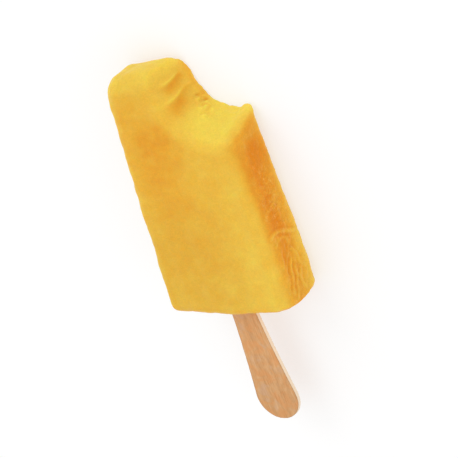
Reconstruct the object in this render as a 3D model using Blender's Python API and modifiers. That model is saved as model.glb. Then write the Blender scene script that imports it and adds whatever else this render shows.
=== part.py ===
"""Fruit ice lolly on a flat wooden stick, with one bite out of a corner.

Two solids: the frozen block and the stick that runs up into it.

Both are drawn in the block's own frame: X across the width, Y from the stick
end (0) to the tip, Z through the thickness, with the origin in the middle of
the stick end. The mould tapers, so an empty then turns that frame until the
back face is level, and the lolly lies on it with the bitten side up.
All sizes are in millimetres and become metres through MM.
"""

import math

import bmesh
import bpy
from mathutils import Vector

MM = 0.001

# frozen block: mould sizes
LENGTH = 88.0            # stick end to tip, before the tip's crown drops
RIGHT_STICK = 25.0       # middle to right side at the stick end
RIGHT_TIP = 23.5
LEFT_STICK = 25.4        # the left side leans in a little more
LEFT_TIP = 23.3
HALF_DEPTH_STICK = 10.9  # half the thickness at the stick end
HALF_DEPTH_TIP = 8.4
EDGE_RADIUS_LEFT = 4.2   # the long edges
EDGE_RADIUS_RIGHT = 4.8
TIP_RADIUS_Y = 6.9       # roll of the tip into both faces, along the length
TIP_RADIUS_Z = 5.2       # and through the thickness
TIP_CORNER = 6.4         # tip corners seen from the front
END_DEPTH_LEFT = 5.2     # softened rim of the stick end, through the thickness
END_DEPTH_RIGHT = 6.4
END_RADIUS_LEFT = 4.2    # and along the length
END_RADIUS_RIGHT = 2.7
END_CORNER_LEFT = 3.0    # stick-end corners seen from the front
END_CORNER_RIGHT = 6.4
CROWN = 2.8              # how far the tip falls away towards its corners
CROWN_SHIFT = -0.07      # crown's high point, as a share of the half width
CROWN_POWER = 1.5
DOME = 1.9               # swelling of the stick end, frozen open side of the mould
DOME_POWER = 1.56
DOME_THROUGH = 0.15      # share of the dome lost towards the two faces
TIP_BLEND = 26.0         # lengths over which the radii change
END_BLEND = 10.0
CROWN_BLEND = 20.0
DOME_BLEND = 25.0
CELLS = (20, 22, 14)     # facets along X, Y and Z
CORNER_CELLS = 6         # of these, the ones on each rounded corner

# bite: a scoop that narrows from the front face to the back face
BITE_X = 18.0            # centre line of the scoop
BITE_Y = 83.0
BITE_RADIUS = 17.3       # at mid thickness, on the crests between tooth marks
BITE_FLARE = 0.31        # growth of the radius for each mm towards the front
BITE_FLARE_2 = 0.008
BITE_FLOOR = 0.9         # the smooth floor lies this much deeper
BITE_RISE = 1.0          # and comes up again towards the side face
BITE_OPENING = 1.2       # the wall leans out again at the tip
FRONT_LIP = 1.3          # melted roll of the front rim
FRONT_LIP_DEPTH = 2.6
BACK_LIP = 0.3
BACK_LIP_DEPTH = 1.2
SIDE_LIP = 1.3           # roll of the scoop's floor into the side face
TOOTH_CRESTS = (162.0, 182.0, 203.0, 228.0)  # crests between tooth marks, degrees
TOOTH_DEPTHS = (0.55, 0.9, 0.75)             # hollows between them
TOOTH_TWIST = 0.5        # degrees for each mm through the thickness
BITE_SEGMENTS = 120
BITE_RINGS = 15

# stick: flat, waisted, with a broad round handle end
STICK_LENGTH = 93.0
STICK_THICKNESS = 1.8
STICK_END_RADIUS = 8.55  # round handle end
STICK_WAIST = 5.0        # half the width where it enters the ice
STICK_FLARE_END = 48.0   # handle end to where the flare has died out
STICK_FLARE_POWER = 1.5
STICK_OUT = 47.15        # how far the handle end stands below the stick end
STICK_X = -3.0           # the stick is a little off the middle
STICK_YAW = 2.6          # and a little askew, degrees
STICK_EDGE = 0.35        # tumbled edges
SLOT_GAP = 0.3           # clearance of the slot round the stick

ICE_COLOUR = (0.82, 0.47, 0.055, 1.0)
WOOD_COLOUR = (0.66, 0.36, 0.165, 1.0)


def smooth(t):
    t = min(max(t, 0.0), 1.0)
    return t * t * (3.0 - 2.0 * t)


def mix(a, b, t):
    return a + (b - a) * t


def corner_and_flat(k, cells):
    """A grid step as (how far into a rounded corner, place along the flat)."""
    flat = cells - 2 * CORNER_CELLS
    if k <= CORNER_CELLS:
        return -(1.0 - k / CORNER_CELLS), -1.0
    if k >= CORNER_CELLS + flat:
        return (k - CORNER_CELLS - flat) / CORNER_CELLS, 1.0
    return 0.0, -1.0 + 2.0 * (k - CORNER_CELLS) / flat


def half_depth(y):
    return mix(HALF_DEPTH_STICK, HALF_DEPTH_TIP, y / LENGTH)


def half_width(y, right):
    return mix(mix(LEFT_STICK, LEFT_TIP, y / LENGTH), mix(RIGHT_STICK, RIGHT_TIP, y / LENGTH), right)


def block_point(i, j, k):
    """A point of the moulded block for one point of a cube's surface grid."""
    (cx, qx), (cy, qy), (cz, qz) = (corner_and_flat(n, c) for n, c in zip((i, j, k), CELLS))
    n = Vector([math.tan(c * math.pi / 4) for c in (cx, cy, cz)]).normalized()

    right = smooth((qx + 1.0) / 2.0)
    end_radius = mix(END_RADIUS_LEFT, END_RADIUS_RIGHT, right)
    roll = TIP_RADIUS_Y if qy >= 1.0 else end_radius
    y = mix(end_radius, LENGTH - TIP_RADIUS_Y, (qy + 1.0) / 2.0) + roll * n.y

    near_tip = smooth((y - (LENGTH - TIP_RADIUS_Y - TIP_BLEND)) / TIP_BLEND)
    near_end = smooth((end_radius + END_BLEND - y) / END_BLEND)
    edge = mix(EDGE_RADIUS_LEFT, EDGE_RADIUS_RIGHT, right)
    end_depth = mix(END_DEPTH_LEFT, END_DEPTH_RIGHT, right)
    end_corner = mix(END_CORNER_LEFT, END_CORNER_RIGHT, right)
    rz = edge + (TIP_RADIUS_Z - edge) * near_tip + (end_depth - edge) * near_end
    rx = edge + (TIP_CORNER - edge) * near_tip + (end_corner - edge) * near_end

    u = qx * (1.0 - rx / RIGHT_STICK) + rx / RIGHT_STICK * n.x
    w = qz * (1.0 - rz / HALF_DEPTH_STICK) + rz / HALF_DEPTH_STICK * n.z
    crown = smooth((y - (LENGTH - TIP_RADIUS_Y - CROWN_BLEND)) / CROWN_BLEND)
    dome = smooth((DOME_BLEND - y) / DOME_BLEND)
    y -= CROWN * abs(u - CROWN_SHIFT) ** CROWN_POWER * crown
    y -= DOME * (1.0 - abs(u) ** DOME_POWER) * (1.0 - DOME_THROUGH * w * w) * dome

    x = qx * (half_width(y, right) - rx) + rx * n.x
    z = qz * (half_depth(y) - rz) + rz * n.z
    return Vector((x, y, z)) * MM


def bite_radius(angle, z):
    """Radius of the scoop at an angle (degrees) and a height through the thickness."""
    r = BITE_RADIUS + BITE_FLARE * z + BITE_FLARE_2 * z * z
    r += BITE_FLOOR * smooth((angle - 205.0) / 22.0) - BITE_RISE * smooth((angle - 262.0) / 20.0)
    r += BITE_OPENING * smooth((188.0 - angle) / 14.0)
    turned = angle - TOOTH_TWIST * (z - 0.5)
    fade = smooth((z + 8.0) / 5.0)
    for first, last, depth in zip(TOOTH_CRESTS, TOOTH_CRESTS[1:], TOOTH_DEPTHS):
        if first < turned < last:
            r += fade * depth * math.sin(math.pi * (turned - first) / (last - first)) ** 0.8
    return r


def lip(depth_below, size, reach):
    """Outward roll of a rim: none below reach, size at the face."""
    t = min(max(1.0 - depth_below / reach, 0.0), 1.6)
    return size * t * t


def bite_point(angle, zeta):
    """A point of the scoop: zeta runs from -1 at the back face to 1 at the front."""
    z = zeta * half_depth(BITE_Y - 15.0)
    r = bite_radius(angle, z)
    r += lip((1.0 - zeta) * half_depth(BITE_Y - 15.0), FRONT_LIP, FRONT_LIP_DEPTH)
    r += lip((1.0 + zeta) * half_depth(BITE_Y - 15.0), BACK_LIP, BACK_LIP_DEPTH)
    a = math.radians(angle)
    x = BITE_X + r * math.cos(a)
    y = BITE_Y + r * math.sin(a)
    if y < BITE_Y:
        side = smooth((x - 19.5) / 4.5)
        y -= SIDE_LIP * side * side
    return Vector((x, y, zeta * half_depth(y))) * MM


def stick_half_width(s):
    """Half the stick's width at a distance s from the handle end."""
    blend = STICK_END_RADIUS * 1.14
    if s < blend:
        return math.sqrt(max(STICK_END_RADIUS ** 2 - (STICK_END_RADIUS - s) ** 2, 0.0))
    start = math.sqrt(STICK_END_RADIUS ** 2 - (blend - STICK_END_RADIUS) ** 2)
    t = min((s - blend) / (STICK_FLARE_END - blend), 1.0)
    return mix(STICK_WAIST, start, (1.0 - t) ** STICK_FLARE_POWER)


def stick_outline():
    """Right-hand half of the outline from the handle end to the inner end, as (x, s)."""
    side = []
    for i in range(1, 13):
        a = math.radians(90.0 * i / 12)
        side.append((STICK_END_RADIUS * math.sin(a), STICK_END_RADIUS * (1.0 - math.cos(a))))
    steps = 16
    blend = STICK_END_RADIUS * 1.14
    for i in range(steps + 1):
        s = mix(blend, STICK_FLARE_END, i / steps)
        side.append((stick_half_width(s), s))
    for i in range(0, 9):
        a = math.radians(90.0 * i / 9)
        side.append((STICK_WAIST * math.cos(a), STICK_LENGTH - STICK_WAIST * (1.0 - math.sin(a))))
    return side


def make_material(name, colour, roughness):
    material = bpy.data.materials.new(name)
    material.use_nodes = True
    shader = material.node_tree.nodes["Principled BSDF"]
    shader.inputs["Base Color"].default_value = colour
    shader.inputs["Roughness"].default_value = roughness
    shader.inputs["Metallic"].default_value = 0.0
    material.diffuse_color = colour
    return material


def new_object(name, mesh, collection, parent):
    thing = bpy.data.objects.new(name, mesh)
    collection.objects.link(thing)
    thing.parent = parent
    return thing


def make_block(collection, parent):
    bm = bmesh.new()
    bmesh.ops.create_cube(bm, size=2.0)
    for a, cells in enumerate(CELLS):
        along = [e for e in bm.edges if abs(e.verts[0].co[a] - e.verts[1].co[a]) > 1.0]
        bmesh.ops.subdivide_edges(bm, edges=along, cuts=cells - 1, use_grid_fill=True)
    places = {v: [round((v.co[a] + 1.0) / 2.0 * CELLS[a]) for a in range(3)] for v in bm.verts}
    for v, place in places.items():
        v.co = block_point(*place)

    # the two broad faces are flat: one face each
    for side in (0, CELLS[2]):
        flat = [f for f in bm.faces if all(
            places[v][2] == side
            and CORNER_CELLS <= places[v][0] <= CELLS[0] - CORNER_CELLS
            and CORNER_CELLS <= places[v][1] <= CELLS[1] - CORNER_CELLS
            for v in f.verts)]
        bmesh.ops.dissolve_faces(bm, faces=flat, use_verts=False)
    bmesh.ops.recalc_face_normals(bm, faces=bm.faces[:])
    mesh = bpy.data.meshes.new("ice_block")
    bm.to_mesh(mesh)
    bm.free()
    return new_object("ice_block", mesh, collection, parent)


def make_bite(collection, parent):
    bm = bmesh.new()
    bmesh.ops.create_cone(bm, cap_ends=True, segments=BITE_SEGMENTS, radius1=1.0, radius2=1.0, depth=2.0)
    upright = [e for e in bm.edges if abs(e.verts[0].co.z - e.verts[1].co.z) > 1.0]
    bmesh.ops.subdivide_edges(bm, edges=upright, cuts=BITE_RINGS, use_grid_fill=True)
    reach = 1.0 + 1.5 / half_depth(BITE_Y)
    for v in bm.verts:
        angle = math.degrees(math.atan2(v.co.y, v.co.x)) % 360.0
        v.co = bite_point(angle, v.co.z * reach)
    bmesh.ops.recalc_face_normals(bm, faces=bm.faces[:])
    mesh = bpy.data.meshes.new("bite_cutter")
    bm.to_mesh(mesh)
    bm.free()
    return new_object("bite_cutter", mesh, collection, parent)


def make_plank(name, grow, thickness, collection, parent):
    """The stick's flat outline, grown by a margin, filled and given its thickness."""
    curve = bpy.data.curves.new(name, "CURVE")
    curve.dimensions = "2D"
    curve.fill_mode = "BOTH"
    curve.extrude = thickness / 2.0 * MM
    right = stick_outline()
    left = [(-x, s) for x, s in reversed(right) if x > 1e-6]
    outline = [(0.0, 0.0)] + right + left
    points = []
    count = len(outline)
    for n, (x, s) in enumerate(outline):
        (x0, s0), (x1, s1) = outline[n - 1], outline[(n + 1) % count]
        tangent = Vector((x1 - x0, s1 - s0)).normalized()
        points.append((x + tangent.y * grow, s - tangent.x * grow))
    spline = curve.splines.new("POLY")
    spline.points.add(len(points) - 1)
    for point, (x, s) in zip(spline.points, points):
        point.co = (x * MM, (s - STICK_OUT) * MM, 0.0, 1.0)
    spline.use_cyclic_u = True

    guide = bpy.data.objects.new(name + "_outline", curve)
    collection.objects.link(guide)
    bpy.context.view_layer.update()
    shape = bpy.data.meshes.new_from_object(guide.evaluated_get(bpy.context.evaluated_depsgraph_get()))
    bpy.data.objects.remove(guide)
    bpy.data.curves.remove(curve)
    bm = bmesh.new()
    bm.from_mesh(shape)
    bmesh.ops.remove_doubles(bm, verts=bm.verts[:], dist=1e-6)
    bmesh.ops.dissolve_limit(bm, angle_limit=math.radians(0.5), verts=bm.verts[:], edges=bm.edges[:])
    bmesh.ops.recalc_face_normals(bm, faces=bm.faces[:])
    bm.to_mesh(shape)
    bm.free()
    shape.name = name
    plank = new_object(name, shape, collection, parent)
    plank.location = (STICK_X * MM, 0.0, 0.0)
    plank.rotation_euler = (0.0, 0.0, math.radians(STICK_YAW))
    return plank


def cut(target, cutter, name):
    modifier = target.modifiers.new(name, "BOOLEAN")
    modifier.operation = "DIFFERENCE"
    modifier.solver = "EXACT"
    modifier.object = cutter
    cutter.hide_render = True
    cutter.display_type = "WIRE"


def world_box(objects):
    bpy.context.view_layer.update()
    graph = bpy.context.evaluated_depsgraph_get()
    corners = []
    for thing in objects:
        shown = thing.evaluated_get(graph)
        mesh = shown.to_mesh()
        corners += [shown.matrix_world @ v.co for v in mesh.vertices]
        shown.to_mesh_clear()
    low = Vector([min(c[a] for c in corners) for a in range(3)])
    high = Vector([max(c[a] for c in corners) for a in range(3)])
    return low, high


def main():
    for thing in list(bpy.data.objects):
        bpy.data.objects.remove(thing, do_unlink=True)

    lolly = bpy.data.collections.new("ice_lolly")
    cutters = bpy.data.collections.new("cutters")
    for collection in (lolly, cutters):
        bpy.context.scene.collection.children.link(collection)

    # the mould's taper, as a turn that lays the back face level
    axis = bpy.data.objects.new("lolly_axis", None)
    lolly.objects.link(axis)
    axis.empty_display_size = 0.02
    axis.rotation_euler = (-math.atan((HALF_DEPTH_STICK - HALF_DEPTH_TIP) / LENGTH), 0.0, 0.0)

    block = make_block(lolly, axis)
    stick = make_plank("stick", 0.0, STICK_THICKNESS, lolly, axis)
    bite = make_bite(cutters, axis)
    slot = make_plank("slot_cutter", SLOT_GAP, STICK_THICKNESS + 2 * SLOT_GAP, cutters, axis)
    cut(block, bite, "bite")
    cut(block, slot, "stick slot")

    tumbled = stick.modifiers.new("tumbled edges", "BEVEL")
    tumbled.width = STICK_EDGE * MM
    tumbled.segments = 2
    tumbled.limit_method = "ANGLE"
    tumbled.angle_limit = math.radians(50.0)

    block.data.materials.append(make_material("mango_ice", ICE_COLOUR, 0.42))
    stick.data.materials.append(make_material("birch_wood", WOOD_COLOUR, 0.6))
    for thing in (block, stick):
        thing.data.shade_smooth()
        thing.data.set_sharp_from_angle(angle=math.radians(35.0))

    # origin: middle of the base the lolly lies on
    low, high = world_box([block, stick])
    axis.location = (-(low.x + high.x) / 2.0, -(low.y + high.y) / 2.0, -low.z)
    bpy.context.view_layer.update()


main()
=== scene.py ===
"""Fruit ice lolly with one bite out of a tip corner, lying on its back face: looks.

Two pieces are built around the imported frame: the ice (stands for ice_block) and
the stick (stands for stick). Both are modelled in the lolly's own frame: X across
the width, Y from the stick end (0) to the tip, Z through the thickness, origin in
the middle of the stick end, sizes in millimetres. LAY turns and moves that frame
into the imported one.
"""

import math

import bmesh
import bpy
import numpy as np
from mathutils import Matrix, Vector, noise


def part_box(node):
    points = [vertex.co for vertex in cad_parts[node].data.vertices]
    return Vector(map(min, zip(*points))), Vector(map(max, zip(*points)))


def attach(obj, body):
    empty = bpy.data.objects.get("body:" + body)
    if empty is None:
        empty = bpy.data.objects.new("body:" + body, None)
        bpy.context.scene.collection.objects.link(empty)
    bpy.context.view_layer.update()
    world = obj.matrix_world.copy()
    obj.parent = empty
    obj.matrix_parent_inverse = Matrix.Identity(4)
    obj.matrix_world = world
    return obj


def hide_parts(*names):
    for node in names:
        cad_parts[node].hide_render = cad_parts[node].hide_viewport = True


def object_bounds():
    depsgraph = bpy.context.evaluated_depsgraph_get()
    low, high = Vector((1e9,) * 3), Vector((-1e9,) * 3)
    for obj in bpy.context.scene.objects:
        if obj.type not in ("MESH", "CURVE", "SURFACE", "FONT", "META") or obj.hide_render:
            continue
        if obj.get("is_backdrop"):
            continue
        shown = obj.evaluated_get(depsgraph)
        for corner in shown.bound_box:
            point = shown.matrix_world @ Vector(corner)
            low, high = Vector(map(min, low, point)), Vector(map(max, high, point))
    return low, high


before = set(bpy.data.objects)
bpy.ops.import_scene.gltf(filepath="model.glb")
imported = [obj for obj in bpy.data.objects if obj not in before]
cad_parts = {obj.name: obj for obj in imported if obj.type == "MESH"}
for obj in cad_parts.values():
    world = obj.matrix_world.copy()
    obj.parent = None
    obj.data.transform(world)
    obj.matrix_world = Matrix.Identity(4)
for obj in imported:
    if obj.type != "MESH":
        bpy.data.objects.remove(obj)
cad_low, cad_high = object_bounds()

MM = 0.001

# ---------------------------------------------------------------- sizes, in mm
LENGTH = 88.0
RIGHT_STICK, RIGHT_TIP = 25.0, 23.5
LEFT_STICK, LEFT_TIP = 25.4, 23.3
HALF_DEPTH_STICK, HALF_DEPTH_TIP = 10.9, 8.4
EDGE_RADIUS_LEFT, EDGE_RADIUS_RIGHT = 4.2, 4.8
TIP_RADIUS_Y, TIP_RADIUS_Z, TIP_CORNER = 6.9, 5.2, 6.4
END_DEPTH_LEFT, END_DEPTH_RIGHT = 5.2, 6.4
END_RADIUS_LEFT, END_RADIUS_RIGHT = 4.2, 2.7
END_CORNER_LEFT, END_CORNER_RIGHT = 3.0, 6.4
CROWN, CROWN_SHIFT, CROWN_POWER = 2.8, -0.07, 1.5
DOME, DOME_POWER, DOME_THROUGH = 1.9, 1.56, 0.15
TIP_BLEND, END_BLEND, CROWN_BLEND, DOME_BLEND = 26.0, 10.0, 20.0, 25.0
GRID = (64, 96, 36)      # cells of the moulded block before it is remeshed
CORNER_GRID = 13

BITE_X, BITE_Y, BITE_RADIUS = 18.0, 83.0, 17.3
BITE_FLARE, BITE_FLARE_2 = 0.31, 0.008
BITE_FLOOR, BITE_RISE, BITE_OPENING = 0.9, 1.0, 1.2
FRONT_LIP, FRONT_LIP_DEPTH = 1.3, 2.6
BACK_LIP, BACK_LIP_DEPTH = 0.3, 1.2
SIDE_LIP = 1.3
TOOTH_CRESTS = (160.0, 183.5, 200.5, 227.0)
TOOTH_DEPTHS = (0.45, 0.95, 0.95)
TOOTH_TWIST = 0.5

STICK_LENGTH, STICK_THICKNESS = 93.0, 1.8
STICK_END_RADIUS, STICK_WAIST = 8.55, 5.0
STICK_FLARE_END, STICK_FLARE_POWER = 48.0, 1.5
STICK_OUT, STICK_X, STICK_YAW = 47.15, -3.0, 2.6

VOXEL = 0.42


def smooth(t):
    t = np.clip(t, 0.0, 1.0)
    return t * t * (3.0 - 2.0 * t)


def mix(a, b, t):
    return a + (b - a) * t


# ------------------------------------------------- the lolly's frame in the row frame
TILT = -math.atan((HALF_DEPTH_STICK - HALF_DEPTH_TIP) / LENGTH)


# ---------------------------------------------------------------- the frozen block
def half_depth(y):
    return mix(HALF_DEPTH_STICK, HALF_DEPTH_TIP, y / LENGTH)


def half_width(y, right):
    return mix(mix(LEFT_STICK, LEFT_TIP, y / LENGTH), mix(RIGHT_STICK, RIGHT_TIP, y / LENGTH), right)


def corner_and_flat(k, cells):
    """Grid steps as (how far into a rounded corner, place along the flat)."""
    flat = cells - 2 * CORNER_GRID
    c = np.where(k <= CORNER_GRID, -(1.0 - k / CORNER_GRID),
                 np.where(k >= CORNER_GRID + flat, (k - CORNER_GRID - flat) / CORNER_GRID, 0.0))
    q = np.clip(-1.0 + 2.0 * (k - CORNER_GRID) / flat, -1.0, 1.0)
    return c, q


def block_points(i, j, k):
    (cx, qx), (cy, qy), (cz, qz) = (corner_and_flat(n.astype(float), c) for n, c in zip((i, j, k), GRID))
    n = np.stack([np.tan(c * math.pi / 4) for c in (cx, cy, cz)], -1)
    n /= np.linalg.norm(n, axis=1, keepdims=True)
    nx, ny, nz = n.T

    right = smooth((qx + 1.0) / 2.0)
    end_radius = mix(END_RADIUS_LEFT, END_RADIUS_RIGHT, right)
    roll = np.where(qy >= 1.0, TIP_RADIUS_Y, end_radius)
    y = mix(end_radius, LENGTH - TIP_RADIUS_Y, (qy + 1.0) / 2.0) + roll * ny

    near_tip = smooth((y - (LENGTH - TIP_RADIUS_Y - TIP_BLEND)) / TIP_BLEND)
    near_end = smooth((end_radius + END_BLEND - y) / END_BLEND)
    edge = mix(EDGE_RADIUS_LEFT, EDGE_RADIUS_RIGHT, right)
    rz = edge + (TIP_RADIUS_Z - edge) * near_tip + (mix(END_DEPTH_LEFT, END_DEPTH_RIGHT, right) - edge) * near_end
    rx = edge + (TIP_CORNER - edge) * near_tip + (mix(END_CORNER_LEFT, END_CORNER_RIGHT, right) - edge) * near_end

    u = qx * (1.0 - rx / RIGHT_STICK) + rx / RIGHT_STICK * nx
    w = qz * (1.0 - rz / HALF_DEPTH_STICK) + rz / HALF_DEPTH_STICK * nz
    y = y - CROWN * np.abs(u - CROWN_SHIFT) ** CROWN_POWER * smooth((y - (LENGTH - TIP_RADIUS_Y - CROWN_BLEND)) / CROWN_BLEND)
    y = y - DOME * (1.0 - np.abs(u) ** DOME_POWER) * (1.0 - DOME_THROUGH * w * w) * smooth((DOME_BLEND - y) / DOME_BLEND)

    x = qx * (half_width(y, right) - rx) + rx * nx
    z = qz * (half_depth(y) - rz) + rz * nz
    return np.stack([x, y, z], -1)


def cube_grid(cells):
    """Grid steps of every point on a cube's surface, and its quads, facing out."""
    nx, ny, nz = cells
    quads = []
    for axis in range(3):
        a, b = (axis + 1) % 3, (axis + 2) % 3
        p, q = np.meshgrid(np.arange(cells[a]), np.arange(cells[b]), indexing="ij")
        for level in (0, cells[axis]):
            corners = []
            for da, db in ((0, 0), (1, 0), (1, 1), (0, 1)):
                at = [None, None, None]
                at[axis], at[a], at[b] = np.full(p.size, level), (p + da).ravel(), (q + db).ravel()
                corners.append((at[0] * (ny + 1) + at[1]) * (nz + 1) + at[2])
            corners = np.stack(corners, -1)
            quads.append(corners if level else corners[:, ::-1])
    quads = np.concatenate(quads)
    used, quads = np.unique(quads, return_inverse=True)
    return used // (nz + 1) // (ny + 1), used // (nz + 1) % (ny + 1), used % (nz + 1), quads.reshape(-1, 4)


def new_mesh_object(name, points, faces):
    mesh = bpy.data.meshes.new(name)
    mesh.from_pydata([tuple(p) for p in points], [], [tuple(int(v) for v in f) for f in faces])
    mesh.validate()
    thing = bpy.data.objects.new(name, mesh)
    bpy.context.scene.collection.objects.link(thing)
    return thing


def bite_radius(angle, z):
    r = BITE_RADIUS + BITE_FLARE * z + BITE_FLARE_2 * z * z
    r = r + BITE_FLOOR * smooth((angle - 205.0) / 22.0) - BITE_RISE * smooth((angle - 262.0) / 20.0)
    r = r + BITE_OPENING * smooth((188.0 - angle) / 14.0)
    turned = angle - TOOTH_TWIST * (z - 0.5)
    fade = smooth((z + 8.5) / 5.0)
    for first, last, depth in zip(TOOTH_CRESTS, TOOTH_CRESTS[1:], TOOTH_DEPTHS):
        t = np.clip((turned - first) / (last - first), 0.0, 1.0)
        # each tooth left a steep step under its crest and a long run out to the next
        r = r + fade * depth * np.sin(math.pi * t ** 0.62) ** 0.95
    return r


def bite_points(angle, zeta):
    depth = half_depth(BITE_Y - 15.0)
    z = zeta * depth
    r = bite_radius(angle, z)
    for below, size, reach in (((1.0 - zeta) * depth, FRONT_LIP, FRONT_LIP_DEPTH), ((1.0 + zeta) * depth, BACK_LIP, BACK_LIP_DEPTH)):
        r = r + size * np.clip(1.0 - below / reach, 0.0, 1.6) ** 2
    a = np.radians(angle)
    x = BITE_X + r * np.cos(a)
    y = BITE_Y + r * np.sin(a)
    y = np.where(y < BITE_Y, y - SIDE_LIP * smooth((x - 19.5) / 4.5) ** 2, y)
    return np.stack([x, y, zeta * half_depth(y)], -1)


def bite_cutter(segments=360, rings=48):
    reach = 1.0 + 1.5 / half_depth(BITE_Y)
    angle, zeta = np.meshgrid(np.arange(segments) * 360.0 / segments, np.linspace(-reach, reach, rings), indexing="ij")
    points = bite_points(angle.ravel(), zeta.ravel())
    faces = []
    for s in range(segments):
        n = (s + 1) % segments
        for r in range(rings - 1):
            faces.append((s * rings + r, n * rings + r, n * rings + r + 1, s * rings + r + 1))
    faces.append([s * rings for s in range(segments)][::-1])
    faces.append([s * rings + rings - 1 for s in range(segments)])
    return new_mesh_object("bite_cutter", points, faces)


def evaluated(thing):
    """The object's mesh with its modifiers, as a new mesh."""
    bpy.context.view_layer.update()
    graph = bpy.context.evaluated_depsgraph_get()
    return bpy.data.meshes.new_from_object(thing.evaluated_get(graph))


def bake_modifiers(thing):
    mesh = evaluated(thing)
    old = thing.data
    thing.modifiers.clear()
    thing.data = mesh
    bpy.data.meshes.remove(old)


def subtract(thing, cutter, solver="MANIFOLD"):
    modifier = thing.modifiers.new("cut", "BOOLEAN")
    modifier.operation, modifier.solver, modifier.object = "DIFFERENCE", solver, cutter
    bake_modifiers(thing)
    bpy.data.objects.remove(cutter)


def tidy(thing):
    """Drops the hair-thin flaps a boolean can leave along its seam, so that the mesh is one closed surface."""
    mesh = bmesh.new()
    mesh.from_mesh(thing.data)
    bmesh.ops.triangulate(mesh, faces=mesh.faces)
    bmesh.ops.remove_doubles(mesh, verts=mesh.verts, dist=1e-7)
    mesh.verts.index_update()
    by_corners = {}
    for face in mesh.faces:
        by_corners.setdefault(frozenset(v.index for v in face.verts), []).append(face)
    flaps = {f for group in by_corners.values() if len(group) > 1 for f in group}
    flaps |= {f for f in mesh.faces if f.calc_area() < 1e-9 and any(len(e.link_faces) == 1 for e in f.edges)}
    if flaps:
        bmesh.ops.delete(mesh, geom=list(flaps), context="FACES")
    print(thing.name, "flaps dropped:", len(flaps), "edges not shared by two faces:",
          sum(len(e.link_faces) != 2 for e in mesh.edges), "triangles:", len(mesh.faces))
    mesh.to_mesh(thing.data)
    mesh.free()


def coordinates(mesh):
    co = np.empty(len(mesh.vertices) * 3, np.float32)
    mesh.vertices.foreach_get("co", co)
    return co.reshape(-1, 3).astype(float)


def set_coordinates(mesh, co):
    mesh.vertices.foreach_set("co", co.astype(np.float32).ravel())
    mesh.update()


class Smoother:
    """Averages each vertex with its neighbours."""

    def __init__(self, mesh):
        edges = np.empty(len(mesh.edges) * 2, np.int32)
        mesh.edges.foreach_get("vertices", edges)
        edges = edges.reshape(-1, 2)
        self.a = np.concatenate([edges[:, 0], edges[:, 1]])
        self.b = np.concatenate([edges[:, 1], edges[:, 0]])
        self.count = len(mesh.vertices)
        self.degree = np.bincount(self.a, minlength=self.count)

    def mean(self, values):
        return np.stack([np.bincount(self.a, values[self.b, c], self.count) for c in range(values.shape[1])], -1) / self.degree[:, None]

    def run(self, co, passes, keep_volume=True, weight=None):
        for _ in range(passes):
            for step in ((0.5, -0.52) if keep_volume else (0.5,)):
                move = step * (self.mean(co) - co)
                co = co + (move if weight is None else move * weight[:, None])
        return co


# ---------------------------------------------------------------- noise and features
def grain(co, size, seed, octaves=1):
    """Smooth noise about size mm across, roughly -1 to 1, at each point."""
    total, weight = np.zeros(len(co)), 0.0
    for o in range(octaves):
        at = co / (size * 0.5 ** o) + np.array((17.31, 7.77, 3.13)) * (seed + 5 * o)
        total += 0.5 ** o * np.array([noise.noise(p) for p in at.tolist()])
        weight += 0.5 ** o
    return total / weight * 1.6


def near_path(co, path, squash=(1.0, 1.0, 1.0)):
    """Distance from each point to a path of points, in mm."""
    squash = np.array(squash)
    best = np.full(len(co), 1e9)
    for a, b in zip(path, path[1:]):
        a, b = np.array(a, float) * squash, np.array(b, float) * squash
        along = np.clip(((co * squash - a) @ (b - a)) / ((b - a) @ (b - a)), 0.0, 1.0)
        best = np.minimum(best, np.linalg.norm(co * squash - a - along[:, None] * (b - a), axis=1))
    return best


def crest(distance, width):
    return np.exp(-(distance / width) ** 2)


def blob(co, centre, radii, power=2):
    return np.exp(-(np.abs((co - np.array(centre)) / np.array(radii)) ** power).sum(1))


def clods(co, size, where):
    """Rounded lumps about size mm across with sharp gaps between, only where the mask is set."""
    height = np.zeros(len(co))
    for v in np.nonzero(where > 0.03)[0]:
        nearest = noise.voronoi(co[v] / size)[0]
        height[v] = min(nearest[1] - nearest[0], 0.55) / 0.55
    return height


# ---------------------------------------------------------------- the ice
i, j, k, quads = cube_grid(GRID)
ice = new_mesh_object("frozen_fruit_ice", block_points(i, j, k), quads)

# where the lolly's frame lies in the row frame: turned by the mould's taper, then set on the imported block's box
turn = Matrix.Rotation(TILT, 4, "X")
turned = coordinates(ice.data) @ np.array(turn.to_3x3()).T * MM
block_low, block_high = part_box("ice_block")
LAY = Matrix.Translation((
    (block_low.x + block_high.x - turned[:, 0].min() - turned[:, 0].max()) / 2,
    block_high.y - turned[:, 1].max(),
    block_low.z - turned[:, 2].min(),
)) @ turn
print("LAY", [round(v * 1000, 4) for v in LAY.translation])

subtract(ice, bite_cutter())
remesh = ice.modifiers.new("even mesh", "REMESH")
remesh.mode, remesh.voxel_size, remesh.adaptivity = "VOXEL", VOXEL, 0.0
bake_modifiers(ice)

smoother = Smoother(ice.data)
co = smoother.run(coordinates(ice.data), 6)


def in_bite(co):
    """Angle and radius about the scoop's centre line, and how far outside its wall each point lies."""
    angle = np.degrees(np.arctan2(co[:, 1] - BITE_Y, co[:, 0] - BITE_X)) % 360.0
    radius = np.hypot(co[:, 0] - BITE_X, co[:, 1] - BITE_Y)
    return angle, radius, radius - bite_radius(angle, co[:, 2])


def tip_height(x):
    """Where the tip end lies at each place across the width."""
    return LENGTH - CROWN * np.abs(x / half_width(LENGTH, (x > 0).astype(float)) - CROWN_SHIFT) ** CROWN_POWER


def rolled(gap, past, reach):
    """1 on a rim where the scoop meets an outer face, fading over reach mm on both surfaces."""
    return np.exp(-(np.maximum(gap, 0.0) / reach) ** 2) * np.exp(-(np.maximum(past, 0.0) / reach) ** 2)


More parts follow.
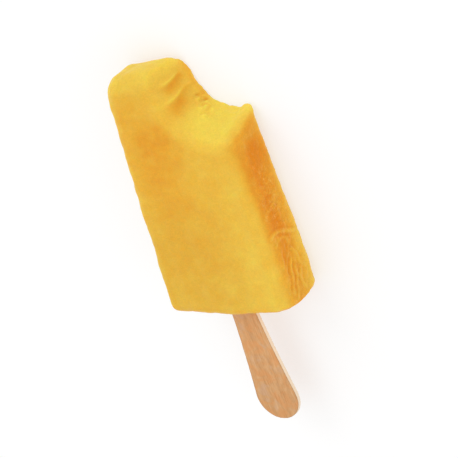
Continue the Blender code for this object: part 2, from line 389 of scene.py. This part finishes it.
# melted rims: wide and soft at the front face and the tip, narrower at the side, crisp at the back
angle, radius, past_wall = in_bite(co)
x, y, z = co.T
near = (y > 52) * (x > -12) * (past_wall > -3.0)
toward_front = smooth((z + 7.5) / 5.0)
rim = np.maximum(
    rolled(half_depth(y) - z, past_wall, 4.2),
    np.maximum(
        rolled(tip_height(x) - y, past_wall, 4.4) * toward_front * (x < BITE_X),
        rolled(half_width(y, 1.0) - x, past_wall, 3.0) * toward_front * 0.7,
    ),
) * near
co = smoother.run(co, 110, keep_volume=False, weight=np.clip(rim * 1.4, 0.0, 1.0))
co = smoother.run(co, 3)
set_coordinates(ice.data, co)


def normals(mesh):
    n = np.empty(len(mesh.vertices) * 3, np.float32)
    mesh.vertices.foreach_get("normal", n)
    return n.reshape(-1, 3).astype(float)


nrm = normals(ice.data)
angle, radius, past_wall = in_bite(co)
x, y, z = co.T
depth = half_depth(y)

# which surface each point belongs to, with soft borders
bite_zone = smooth((3.2 - np.abs(past_wall)) / 2.2) * (y > 55) * (x > -6)
side = smooth((nrm[:, 0] - 0.45) / 0.4) * (1 - bite_zone)
front = smooth((nrm[:, 2] - 0.3) / 0.5) * (1 - bite_zone)
back = smooth((-nrm[:, 2] - 0.6) / 0.3)
tip = smooth((nrm[:, 1] - 0.25) / 0.5) * (1 - bite_zone)

relief = np.zeros(len(co))
# slow unevenness of a block that has started to melt
relief += 0.22 * grain(co, 7.0, 1) * (1 - 0.8 * back)
relief += 0.13 * grain(co, 3.4, 2) * (1 - 0.6 * back)
relief += 0.05 * grain(co, 1.5, 3) * (1 - 0.6 * back)

relief += 0.7 * blob(co, (24.0, 1.2, 3.0), (4.0, 3.2, 6.0))

# right side: an arched ridge over a hollow, and wrinkles down to the stick end
ARCH = [(24.3, 26.3, 6.8), (24.4, 26.8, 5.8), (24.5, 27.0, 4.5), (24.5, 26.6, 2.2), (24.6, 25.4, -0.4), (24.6, 24.0, -2.8), (24.6, 23.0, -5.1)]
ARCH_HOLLOW = [(24.6, 22.6, 4.6), (24.6, 22.6, 2.4), (24.6, 20.4, 1.4), (24.7, 17.6, 2.4)]
arch = near_path(co, ARCH)
inner_arch = near_path(co, [(24.6, 22.6, 5.9), (24.6, 24.2, 3.9), (24.6, 24.2, 1.7), (24.6, 22.8, -0.1), (24.6, 20.6, -0.8)])
hollow = near_path(co, ARCH_HOLLOW)
relief += side * (0.36 * crest(arch, 0.55) + 0.26 * crest(inner_arch, 0.55) - 0.34 * crest(hollow, 2.0))
WRINKLES = [
    ([(24.7, 15.5, 1.2), (24.8, 12.4, 2.9), (24.8, 9.6, 3.2), (24.8, 7.0, 4.6), (24.8, 4.6, 5.0)], 0.34),
    ([(24.8, 12.4, 0.4), (24.8, 9.6, 0.6), (24.9, 7.0, 2.2), (24.9, 4.6, 2.6), (24.9, 2.4, 4.0)], 0.38),
    ([(24.8, 10.6, -2.4), (24.8, 8.4, -0.9), (24.9, 5.6, -0.6), (24.9, 3.6, -1.8)], 0.34),
    ([(24.8, 9.6, 0.6), (24.9, 7.2, -0.8)], 0.26),
    ([(24.7, 18.4, -0.8), (24.8, 15.6, -2.6), (24.8, 12.6, -2.4), (24.8, 10.2, -4.4)], 0.26),
    ([(24.6, 20.4, 5.6), (24.7, 17.4, 5.0), (24.8, 14.6, 6.2)], 0.14),
]
wrinkle = np.zeros(len(co))
for path, height in WRINKLES:
    d = near_path(co, path)
    wrinkle += 1.25 * height * (crest(d, 0.55) - 0.5 * crest(d - 1.0, 0.5))
relief += side * wrinkle
low = smooth((34.0 - y) / 14.0)
fold = grain(co * np.array((1.0, 0.42, 1.0)) + 0.8 * grain(co, 3.5, 11)[:, None], 1.7, 12)
relief += side * low * 0.16 * (1.0 - 2.2 * np.abs(fold))
# crystals along the middle of the side
crystals = blob(co, (24.3, 40.0, 1.2), (9.0, 10.0, 4.0)) + 0.4 * blob(co, (24.3, 31.0, -3.0), (9.0, 9.0, 5.0))
relief += side * crystals * 0.22 * grain(co * np.array((1.0, 1.6, 0.7)), 1.0, 13, 2)
relief += side * 0.06 * grain(co, 1.1, 14, 2)

# bite: thin fins left between the teeth, crumbs where the ice broke away, a raised crust at the floor's
# right end, an uneven back rim
wall_turn = angle - TOOTH_TWIST * (z - 0.5)
fins = np.zeros(len(co))
for at, height, middle, half in ((TOOTH_CRESTS[1], 0.36, 0.4, 4.0), (TOOTH_CRESTS[2], 0.38, 1.6, 4.2)):
    off = np.radians(wall_turn - at + 0.10 * (z - middle) ** 2) * radius
    fins += height * crest(off, 0.6) * np.exp(-np.abs((z - middle) / half) ** 3)
relief += bite_zone * fins
crumbs = np.maximum(blob(co, (6.0, 71.6, -5.3), (2.7, 3.0, 2.6), 3), 0.9 * blob(co, (9.2, 68.4, -3.6), (2.4, 2.4, 3.2), 3))
CHIPS = (
    ((6.0, 70.9, -4.2), (6.8, 70.8, -6.0)), ((7.0, 69.8, -3.5), (7.5, 70.0, -5.3)), ((6.2, 70.0, -2.3), (6.9, 69.0, -1.3)),
    ((7.7, 68.0, -0.1), (8.4, 67.9, -1.0)), ((9.1, 68.3, -3.5), (9.4, 68.4, -4.8)), ((4.2, 72.7, -4.2), (5.1, 72.2, -5.1)),
)
CREASES = (
    ((5.5, 71.7, -5.2), (6.5, 71.2, -6.5)), ((6.3, 70.4, -3.7), (6.9, 70.3, -4.9)), ((7.1, 68.6, -0.5), (7.7, 68.6, -1.6)),
    ((4.2, 73.6, -5.0), (4.8, 72.9, -5.6)),
)
warp = np.stack([grain(co, 1.9, seed) for seed in (24, 26, 27)], -1)
bent = co + 0.35 * warp
uneven = 1.0 + 0.8 * grain(co, 1.3, 28)
chip = uneven * sum(crest(near_path(bent, path), 0.6) for path in CHIPS)
crease = uneven * sum(crest(near_path(bent, path), 0.5) for path in CREASES)
clod = clods(co * np.array((0.8, 1.25, 1.0)) + 0.75 * warp, 1.8, crumbs)
relief += bite_zone * (crumbs * (0.40 * clod - 0.14 + 0.25 * grain(co, 2.2, 21)) + 0.40 * chip - 0.38 * crease)
relief += 0.30 * np.exp(-np.abs((x - 21.4) / 2.7) ** 8 - ((y - 67.3) / 2.6) ** 2 - np.abs((z + 7.6) / 2.1) ** 3)
relief += bite_zone * 0.05 * grain(co, 2.2, 22)
relief += bite_zone * smooth((-z - 3.0) / 4.0) * 0.34 * grain(co, 2.3, 25, 3)

shape = co + nrm * relief[:, None]
shape = smoother.run(shape, 1)

# ---------------------------------------------------------------- how orange the ice is, with painted light and shade in it
# 0 is pale yellow, where the key light falls; 1 is deep orange, in painted shade and in the hollows
set_coordinates(ice.data, shape)
nrm = normals(ice.data)
# painted shade: paler where the surface faces the key light, deeper orange where it turns away
facing_key_light = nrm @ np.array((-0.25, 0.90, 0.36))
tone_and_shade = np.interp(facing_key_light, (-1.0, -0.6, -0.3, 0.05, 0.36, 0.75, 0.97), (0.80, 0.66, 0.52, 0.50, 0.42, 0.25, 0.20))

# front face: an orange area on the left below the tip, a paler band down the right
tone_and_shade += front * (
    0.24 * blob(co, (-8.5, 63.5, 9.0), (11.0, 12.5, 30.0))
    + 0.14 * blob(co, (-12.0, 48.0, 9.0), (10.0, 11.0, 30.0))
    + 0.10 * blob(co, (-6.0, 28.0, 9.0), (16.0, 13.0, 30.0))
    - 0.10 * blob(co, (19.0, 30.0, 9.0), (5.0, 30.0, 30.0))
    - 0.08 * blob(co, (16.0, 5.0, 9.0), (9.0, 15.0, 30.0))
)

# right side, painted shade: by how far below the front a point lies, it deepens orange round the edge into the side's
# shade and pales again towards the back, where the floor's bounce lights it
below = np.maximum(depth - z, 0.0)
side_zone = smooth((x - 17.0) / 3.5) * smooth((nrm[:, 0] + 0.15) / 0.25) * smooth((0.8 - np.abs(nrm[:, 1])) / 0.3)
first = mix(0.8, -0.5, smooth((y - 34.0) / 22.0))
side_tone_and_shade = mix(0.25, 0.33, smooth(y / 25.0))
side_tone_and_shade += (mix(0.30, 0.37, smooth((y - 18.0) / 12.0)) + 0.13 * smooth((y - 46.0) / 6.0)) * smooth((below - first) / mix(2.8, 3.6, smooth((y - 40.0) / 14.0)))
side_tone_and_shade += 0.17 * smooth((below - 2.5) / 4.5)
side_tone_and_shade += 0.06 * smooth((y - 24.0) / 6.0) * smooth((52.0 - y) / 8.0) * smooth(below / 3.0)
side_tone_and_shade -= 0.24 * smooth((below - 9.0) / 7.5) + mix(0.12, 0.22, smooth((y - 14.0) / 14.0)) * smooth((below - 14.0) / 3.5)
side_tone_and_shade -= 0.17 * smooth((y - 56.5) / 5.0) * smooth((below - 0.4) / 2.5)
seam = near_path(co, [(24.5, 29.0, 1.2), (24.5, 25.5, 0.6), (24.6, 20.5, 1.4), (24.7, 17.0, 3.4)])
# painted highlight on the arch's ridges, painted shade beside them and along a line through the hollow under the arch
side_tone_and_shade += 0.13 * crest(seam, 2.2) - 0.17 * crest(arch, 0.55) + 0.08 * crest(arch - 1.3, 0.5) - 0.15 * crest(inner_arch, 0.6)
# painted highlight on the wrinkles' crests, painted shade beside them
side_tone_and_shade -= 0.34 * np.clip(wrinkle, -0.25, 0.45)
side_tone_and_shade -= crystals * 0.22 * grain(co * np.array((1.0, 1.6, 0.7)), 1.0, 13, 2)
side_tone_and_shade += 0.06 * grain(co * np.array((1.0, 0.6, 1.0)), 3.2, 33, 2)
tone_and_shade = mix(tone_and_shade, side_tone_and_shade, side_zone)

# bite, painted light and shade: the wall, turned from the light, is deeper than the lit floor, each tooth groove
# deeper still
groove_shade = np.zeros(len(co))
for first, last, middle, strength, far in zip(TOOTH_CRESTS[:3], TOOTH_CRESTS[1:4], (-0.5, -0.5, 1.6), (0.2, 1.0, 1.0), (0.32, 0.44, 0.34)):
    t = (wall_turn - first + 0.10 * (z - 1.0) ** 2) / (last - first)
    wide = np.where(t < 0.30, 0.22, far)
    groove_shade += strength * np.exp(-((t - 0.30) / wide) ** 2) * np.exp(-np.abs((z - middle) / 4.4) ** 3) * (t > -0.4)
wall_shade_tone = mix(0.30, 0.34, smooth((1.5 - z) / 6.0)) + 0.12 * smooth((-5.0 - z) / 2.5) - 0.20 * smooth((182.0 - wall_turn) / 12.0)
bite_tone_and_shade = mix(wall_shade_tone, 0.06, smooth((angle - 208.0) / 32.0))
bite_tone_and_shade += 0.27 * smooth((x - 18.4) / 5.4) * smooth((z + 7.0) / 7.0)
bite_tone_and_shade += (0.06 * smooth((z - 1.5) / 5.0) + 0.16 * smooth((below - 2.4) / -2.4)) * smooth((angle - 222.0) / 16.0)
# painted shade in the tooth grooves, painted highlight on the thin fins between them
bite_tone_and_shade += 0.38 * groove_shade - 0.5 * fins + 0.06 * crest(angle - 214.0, 14.0) * smooth((z + 2.0) / 4.0)
# painted highlight on the crumbs' lumps and chips, painted shade in the gaps and creases
bite_tone_and_shade += crumbs * (0.13 - 0.18 * clod) - 0.12 * chip + 0.22 * crease
bite_tone_and_shade += 0.16 * crest(near_path(co, [(7.8, 69.6, -5.0), (9.0, 68.0, -2.4)]), 0.8) + 0.12 * crest(near_path(co, [(5.3, 73.3, -7.4), (6.0, 71.8, -6.7)]), 1.0)
# on the front face the change of colour is spread over several millimetres
faded = smooth((5.2 - past_wall) / 5.6) * smooth((nrm[:, 2] - 0.2) / 0.4) * smooth((21.0 - x) / 5.0) * (y > 50) * (x > -8)
on_side = smooth((nrm[:, 0] - 0.3) / 0.4) * (x > 16)
run = smooth((3.8 - np.abs(past_wall)) / 3.8) * (y > 55) * (x > -6)
tone_and_shade = mix(tone_and_shade, bite_tone_and_shade, np.maximum(mix(bite_zone, run, on_side), faded))
tone_and_shade += 0.05 * blob(co, (21.6, 62.8, 5.4), (3.4, 3.2, 4.4)) + 0.14 * blob(co, (-2.5, 64.5, 9.5), (6.5, 6.0, 4.5))
# smaller uneven patches: where, how far they reach, how much deeper or paler
PATCHES = (
    ((-2.0, 86.0, 3.5), (4.0, 4.0, 5.0), 0.09),
    ((-9.0, 41.5, 9.7), (8.0, 5.0, 20.0), 0.09),
    ((5.8, 54.7, 9.3), (3.5, 4.0, 20.0), -0.07),
    ((-6.0, 66.0, 9.0), (4.0, 3.5, 20.0), -0.06),
    ((18.0, 34.8, 9.9), (3.0, 4.0, 20.0), 0.08),
    ((13.0, 21.2, 10.3), (4.0, 5.0, 20.0), -0.07),
    ((19.5, 52.3, 9.4), (3.0, 4.0, 10.0), 0.06),
    ((24.4, 31.0, -0.5), (3.0, 6.0, 2.5), -0.10),
    ((24.6, 20.5, -2.2), (3.0, 4.0, 2.2), 0.08),
    ((24.8, 13.0, 3.0), (3.0, 3.0, 2.5), -0.07),
    ((24.8, 11.8, -4.2), (3.0, 4.0, 2.5), 0.07),
    ((23.9, 64.7, 1.6), (3.0, 3.0, 2.5), -0.08),
    ((23.9, 58.6, 5.2), (2.5, 4.0, 2.5), -0.06),
    ((-14.6, 64.4, 9.0), (4.0, 4.0, 20.0), 0.07),
    ((24.4, 33.5, -2.6), (3.0, 5.0, 2.2), -0.06),
    ((-8.6, 15.5, 10.4), (4.0, 4.5, 20.0), 0.06),
)
for centre, reach, amount in PATCHES:
    tone_and_shade += amount * blob(co, centre, reach)
tone_and_shade += 0.05 * grain(co, 7.0, 31) + 0.03 * grain(co, 2.6, 32)
tone_and_shade = np.clip(tone_and_shade, 0.0, 1.0)

# lightness: the lower front is a little duller
light = np.ones(len(co))
light -= 0.055 * front * smooth((52.0 - y) / 30.0) * smooth((15.5 - x) / 7.0)
# painted shade at the side's corner by the stick end, where the light falls off; a little darker also at the tip's
# left end and on the side by the bite, a little lighter down the front
light -= 0.05 * blob(co, (24.5, 2.5, 1.0), (5.0, 6.0, 9.0)) + 0.045 * blob(co, (-10.0, 85.0, 6.0), (10.0, 6.0, 8.0))
light -= 0.03 * blob(co, (23.0, 62.0, 3.0), (5.0, 7.0, 8.0)) - 0.022 * blob(co, (8.0, 20.0, 10.0), (7.0, 20.0, 20.0)) * front
# painted highlight on the chips, painted shade in the creases
light += 0.035 * bite_zone * chip - 0.03 * bite_zone * crease
# how much frost the surface has, for the fine flecks; in the crumbs the flecks are also a painted highlight on the
# broken flakes
frost_and_flake_glint = 0.10 + side_zone * (1 - bite_zone) * smooth((below - 1.5) / 3.0) * (0.35 + 0.7 * crystals + 0.25 * low) + 0.2 * bite_zone * crumbs
frost_and_flake_glint = np.clip(frost_and_flake_glint, 0.0, 1.0)


def into_row_frame(thing, co):
    """Puts a mesh drawn in the lolly's frame, in mm, at its place in the row frame."""
    turned = (co * MM) @ np.array(LAY.to_3x3()).T + np.array(LAY.translation)
    for axis in range(3):
        turned[:, axis] = np.clip(turned[:, axis], cad_low[axis], cad_high[axis])
    set_coordinates(thing.data, turned)


into_row_frame(ice, shape)
for name, values in (("tone_and_shade", tone_and_shade), ("light", light), ("frost_and_flake_glint", frost_and_flake_glint)):
    attribute = ice.data.attributes.new(name, "FLOAT", "POINT")
    attribute.data.foreach_set("value", values.astype(np.float32))
ice.data.shade_smooth()


# ---------------------------------------------------------------- the stick
cad_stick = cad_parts["stick"]
stick = bpy.data.objects.new("flat_wooden_stick", cad_stick.data.copy())
bpy.context.scene.collection.objects.link(stick)
stick.data.materials.clear()
stick.data.transform(LAY.inverted())
stick.data.transform(Matrix.Scale(1.0 / MM, 4))
weld = stick.modifiers.new("weld", "WELD")
weld.merge_threshold = 0.0001
bake_modifiers(stick)
sleeve_co, sleeve_n = coordinates(stick.data), normals(stick.data)
sleeve = bpy.data.objects.new("slot", stick.data.copy())
bpy.context.scene.collection.objects.link(sleeve)
into_row_frame(sleeve, sleeve_co + sleeve_n * 0.09)
subtract(ice, sleeve)
tidy(ice)
ice.data.shade_smooth()

remesh = stick.modifiers.new("even mesh", "REMESH")
remesh.mode, remesh.voxel_size, remesh.adaptivity = "VOXEL", 0.26, 0.0
bake_modifiers(stick)
stick_smoother = Smoother(stick.data)
wood = stick_smoother.run(coordinates(stick.data), 4)
set_coordinates(stick.data, wood)
wood_n = normals(stick.data)
yaw = math.radians(STICK_YAW)
across = (wood[:, 0] - STICK_X) * math.cos(yaw) + wood[:, 1] * math.sin(yaw)
along = -(wood[:, 0] - STICK_X) * math.sin(yaw) + wood[:, 1] * math.cos(yaw)
fibre = np.stack([across, along * 0.045, wood[:, 2] * 0.6], -1)
wood = wood + wood_n * (0.028 * grain(fibre, 0.75, 41) + 0.02 * grain(fibre, 1.9, 42) - 0.03)[:, None]
into_row_frame(stick, wood)
attribute = stick.data.attributes.new("light", "FLOAT", "POINT")
attribute.data.foreach_set("value", (1.0 - 0.09 * smooth((-12.0 - wood[:, 1]) / 30.0)).astype(np.float32))
stick.data.shade_smooth()


# ---------------------------------------------------------------- materials
class Nodes:
    """Small helper for building a node tree."""

    def __init__(self, name):
        self.material = bpy.data.materials.new(name)
        self.material.use_nodes = True
        self.tree = self.material.node_tree
        self.shader = self.tree.nodes["Principled BSDF"]

    def add(self, kind, **values):
        node = self.tree.nodes.new(kind)
        for key, value in values.items():
            setattr(node, key, value)
        return node

    def link(self, a, b):
        self.tree.links.new(a, b)

    def plug(self, socket, value):
        if isinstance(value, bpy.types.NodeSocket):
            self.link(value, socket)
        else:
            socket.default_value = value

    def math(self, operation, a, b=0.0, clamp=False):
        node = self.add("ShaderNodeMath", operation=operation, use_clamp=clamp)
        self.plug(node.inputs[0], a)
        self.plug(node.inputs[1], b)
        return node.outputs[0]

    def ramp(self, value, low, high, to_low=0.0, to_high=1.0, smooth_step=True):
        node = self.add("ShaderNodeMapRange", interpolation_type="SMOOTHSTEP" if smooth_step else "LINEAR")
        self.plug(node.inputs["Value"], value)
        for name, v in (("From Min", low), ("From Max", high), ("To Min", to_low), ("To Max", to_high)):
            node.inputs[name].default_value = v
        return node.outputs["Result"]

    def mix(self, factor, a, b, blend="MIX"):
        node = self.add("ShaderNodeMix", data_type="RGBA", blend_type=blend)
        self.plug(node.inputs["Factor"], factor)
        self.plug(node.inputs["A"], a)
        self.plug(node.inputs["B"], b)
        return node.outputs["Result"]

    def coordinates(self, scale):
        """Object coordinates times scale: 1000 gives millimetres."""
        source = self.add("ShaderNodeTexCoord")
        mapping = self.add("ShaderNodeMapping")
        mapping.inputs["Scale"].default_value = scale if hasattr(scale, "__len__") else (scale,) * 3
        self.link(source.outputs["Object"], mapping.inputs["Vector"])
        return mapping.outputs["Vector"]

    def noise(self, vector, scale, detail=2.0, roughness=0.5, distortion=0.0):
        node = self.add("ShaderNodeTexNoise")
        self.link(vector, node.inputs["Vector"])
        node.inputs["Scale"].default_value = scale
        node.inputs["Detail"].default_value = detail
        node.inputs["Roughness"].default_value = roughness
        node.inputs["Distortion"].default_value = distortion
        return node.outputs["Fac"]

    def colour_ramp(self, value, stops):
        node = self.add("ShaderNodeValToRGB")
        self.link(value, node.inputs["Fac"])
        elements = node.color_ramp.elements
        while len(elements) < len(stops):
            elements.new(0.5)
        for element, (place, colour) in zip(elements, stops):
            element.position = place
            element.color = (*colour, 1.0)
        return node.outputs["Color"]

    def bump(self, height, strength, distance, before=None):
        node = self.add("ShaderNodeBump")
        node.inputs["Strength"].default_value = strength
        node.inputs["Distance"].default_value = distance
        self.link(height, node.inputs["Height"])
        if before is not None:
            self.link(before, node.inputs["Normal"])
        return node.outputs["Normal"]


def ice_material():
    m = Nodes("mango_ice")
    mm = m.coordinates(1000.0)
    tone_and_shade = m.add("ShaderNodeAttribute", attribute_name="tone_and_shade").outputs["Fac"]
    coarse = m.noise(mm, 0.22, 3.0, 0.55)
    medium = m.noise(mm, 0.8, 2.0, 0.6)
    fine = m.noise(mm, 2.2, 2.0, 0.6)
    value = m.math("ADD", tone_and_shade, m.math("MULTIPLY", m.math("SUBTRACT", coarse, 0.5), 0.20))
    value = m.math("ADD", value, m.math("MULTIPLY", m.math("SUBTRACT", medium, 0.5), 0.12), clamp=True)
    colour = m.colour_ramp(value, (
        (0.0, (0.820, 0.640, 0.086)),
        (0.33, (0.788, 0.500, 0.060)),
        (0.66, (0.760, 0.375, 0.030)),
        (1.0, (0.705, 0.225, 0.006)),
    ))
    # frost: fine grains a little lighter or darker than the ice round them
    frost_and_flake_glint = m.add("ShaderNodeAttribute", attribute_name="frost_and_flake_glint").outputs["Fac"]
    frost = m.math("ADD", m.ramp(fine, 0.2, 0.8, -0.07, 0.07, False), m.ramp(medium, 0.25, 0.75, -0.035, 0.035, False))
    frost = m.math("MULTIPLY", frost, m.ramp(frost_and_flake_glint, 0.0, 1.0, 1.1, 1.9, False))
    # pale flecks: frost on the side, and a painted highlight on the flakes in the bite's crumbs
    flecks = m.noise(m.coordinates((1000.0, 620.0, 1000.0)), 0.75, 3.0, 0.62, 0.5)
    flecks = m.math("MULTIPLY", m.ramp(flecks, 0.50, 0.78), m.ramp(frost_and_flake_glint, 0.15, 1.0, 0.0, 0.5, False))
    colour = m.mix(flecks, colour, (0.860, 0.560, 0.150, 1.0))
    shade = m.math("ADD", m.add("ShaderNodeAttribute", attribute_name="light").outputs["Fac"], frost)
    grey = m.add("ShaderNodeCombineColor")
    for channel in ("Red", "Green", "Blue"):
        m.link(shade, grey.inputs[channel])
    colour = m.mix(1.0, colour, grey.outputs["Color"], "MULTIPLY")
    m.link(colour, m.shader.inputs["Base Color"])
    m.link(m.ramp(medium, 0.3, 0.7, 0.44, 0.6), m.shader.inputs["Roughness"])
    normal = m.bump(m.noise(mm, 1.1, 3.0, 0.6), 0.35, 0.0004)
    normal = m.bump(m.noise(mm, 3.0, 2.0, 0.6), 0.30, 0.00012, normal)
    m.link(normal, m.shader.inputs["Normal"])
    m.shader.inputs["Subsurface Weight"].default_value = 0.6
    m.shader.inputs["Subsurface Radius"].default_value = (1.0, 0.5, 0.15)
    m.shader.inputs["Subsurface Scale"].default_value = 0.0025
    m.shader.inputs["Specular IOR Level"].default_value = 0.25
    m.shader.inputs["IOR"].default_value = 1.31
    return m.material


def wood_material():
    m = Nodes("birch_wood")
    source = m.add("ShaderNodeTexCoord")
    mapping = m.add("ShaderNodeMapping")
    mapping.inputs["Rotation"].default_value = (0.0, 0.0, -yaw)
    mapping.inputs["Scale"].default_value = (1000.0, 1000.0, 1000.0)
    m.link(source.outputs["Object"], mapping.inputs["Vector"])
    stretch = m.add("ShaderNodeMapping")
    stretch.inputs["Scale"].default_value = (1.0, 0.07, 1.0)
    m.link(mapping.outputs["Vector"], stretch.inputs["Vector"])
    long_grain = stretch.outputs["Vector"]
    streaks = m.noise(long_grain, 0.55, 3.0, 0.6, 0.4)
    fibres = m.noise(long_grain, 2.6, 2.0, 0.6)
    blotches = m.noise(mapping.outputs["Vector"], 0.22, 3.0, 0.6, 0.8)
    flakes = m.add("ShaderNodeMapping")
    flakes.inputs["Scale"].default_value = (1.0, 0.32, 1.0)
    m.link(mapping.outputs["Vector"], flakes.inputs["Vector"])
    short = m.noise(flakes.outputs["Vector"], 0.95, 3.0, 0.7, 0.5)
    colour = m.colour_ramp(m.math("ADD", m.math("MULTIPLY", streaks, 0.45), m.math("MULTIPLY", short, 0.55)), (
        (0.32, (0.545, 0.262, 0.098)),
        (0.46, (0.635, 0.335, 0.136)),
        (0.56, (0.700, 0.385, 0.168)),
        (0.68, (0.760, 0.455, 0.225)),
    ))
    colour = m.mix(m.ramp(blotches, 0.44, 0.64, 0.0, 0.65), colour, (0.720, 0.315, 0.105, 1.0))
    colour = m.mix(m.ramp(blotches, 0.46, 0.30, 0.0, 0.60), colour, (0.640, 0.395, 0.245, 1.0))
    colour = m.mix(m.ramp(fibres, 0.5, 0.75, 0.0, 0.45), colour, (0.480, 0.225, 0.085, 1.0))
    # cut edges: painted highlight makes them pale as if brightly lit, under a browner line along the corner
    geometry = m.add("ShaderNodeNewGeometry")
    split = m.add("ShaderNodeSeparateXYZ")
    m.link(geometry.outputs["Normal"], split.inputs[0])
    upright = m.math("ABSOLUTE", split.outputs["Z"])
    colour = m.mix(m.ramp(upright, 0.985, 0.90, 0.0, 0.55), colour, (0.400, 0.200, 0.085, 1.0))
    colour = m.mix(m.ramp(upright, 0.45, 0.80, 0.85, 0.0), colour, (0.940, 0.780, 0.580, 1.0))
    grey = m.add("ShaderNodeCombineColor")
    for channel in ("Red", "Green", "Blue"):
        m.link(m.add("ShaderNodeAttribute", attribute_name="light").outputs["Fac"], grey.inputs[channel])
    colour = m.mix(1.0, colour, grey.outputs["Color"], "MULTIPLY")
    m.link(colour, m.shader.inputs["Base Color"])
    m.link(m.ramp(fibres, 0.3, 0.7, 0.55, 0.75), m.shader.inputs["Roughness"])
    normal = m.bump(fibres, 0.35, 0.0002)
    m.link(normal, m.shader.inputs["Normal"])
    m.shader.inputs["Specular IOR Level"].default_value = 0.3
    return m.material


def floor_material():
    m = Nodes("white_floor")
    mm = m.coordinates(1000.0)
    m.link(m.ramp(m.noise(mm, 0.05, 3.0), 0.2, 0.8, 0.7, 0.8), m.shader.inputs["Roughness"])
    m.shader.inputs["Base Color"].default_value = (0.45, 0.45, 0.45, 1.0)
    m.shader.inputs["Emission Color"].default_value = (1.0, 1.0, 1.0, 1.0)
    m.shader.inputs["Emission Strength"].default_value = 0.54
    m.shader.inputs["Specular IOR Level"].default_value = 0.1
    return m.material


ice.data.materials.clear()
ice.data.materials.append(ice_material())
stick.data.materials.clear()
stick.data.materials.append(wood_material())

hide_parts("ice_block")
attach(ice, "root")
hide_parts("stick")
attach(stick, "root")


# ---------------------------------------------------------------- stage, light, camera
floor_mesh = bpy.data.meshes.new("floor")
floor_bm = bmesh.new()
bmesh.ops.create_grid(floor_bm, x_segments=2, y_segments=2, size=3.0)
floor_bm.to_mesh(floor_mesh)
floor_bm.free()
floor = bpy.data.objects.new("floor", floor_mesh)
floor.data.materials.append(floor_material())
bpy.context.scene.collection.objects.link(floor)
floor.location.z = -0.0002
floor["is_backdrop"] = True

world = bpy.data.worlds.new("studio")
world.use_nodes = True
world.node_tree.nodes["Background"].inputs["Color"].default_value = (1.0, 1.0, 1.0, 1.0)
world.node_tree.nodes["Background"].inputs["Strength"].default_value = 0.95
bpy.context.scene.world = world


def softbox(name, place, size, power, colour=(1.0, 1.0, 1.0)):
    light = bpy.data.lights.new(name, "AREA")
    light.shape, light.size, light.energy, light.color = "DISK", size, power, colour
    lamp = bpy.data.objects.new(name, light)
    bpy.context.scene.collection.objects.link(lamp)
    lamp.location = place
    lamp.rotation_mode = "QUATERNION"
    lamp.rotation_quaternion = (-Vector(place)).to_track_quat("-Z", "Y")
    return lamp


softbox("key", (-0.30, 1.00, 0.72), 0.9, 2.6)
softbox("fill", (1.1, -0.2, 0.35), 0.9, 1.4)

ALPHA, EPSILON, ROLL = math.radians(40.883), math.radians(22.362), math.radians(-19.338)
TARGET, DISTANCE, LENS = Vector((2.765, 26.549, 0.0)), 937.5, 222.99
toward = Vector((math.sin(ALPHA) * math.cos(EPSILON), math.sin(EPSILON), math.cos(ALPHA) * math.cos(EPSILON)))
level = Vector((0, 1, 0)).cross(toward).normalized()
upward = toward.cross(level)
right = math.cos(ROLL) * level + math.sin(ROLL) * upward
upward = toward.cross(right)
spot = (TARGET + toward * DISTANCE) * MM
camera_data = bpy.data.cameras.new("camera")
camera_data.lens, camera_data.sensor_width = LENS, 36.0
camera_data.clip_start, camera_data.clip_end = 0.05, 20.0
camera = bpy.data.objects.new("camera", camera_data)
bpy.context.scene.collection.objects.link(camera)
pose = Matrix((right, upward, toward)).transposed().to_4x4()
pose.translation = spot
camera.matrix_world = LAY @ pose
bpy.context.scene.camera = camera

bpy.context.scene.view_settings.view_transform = "Standard"
bpy.context.scene.view_settings.look = "None"

low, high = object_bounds()
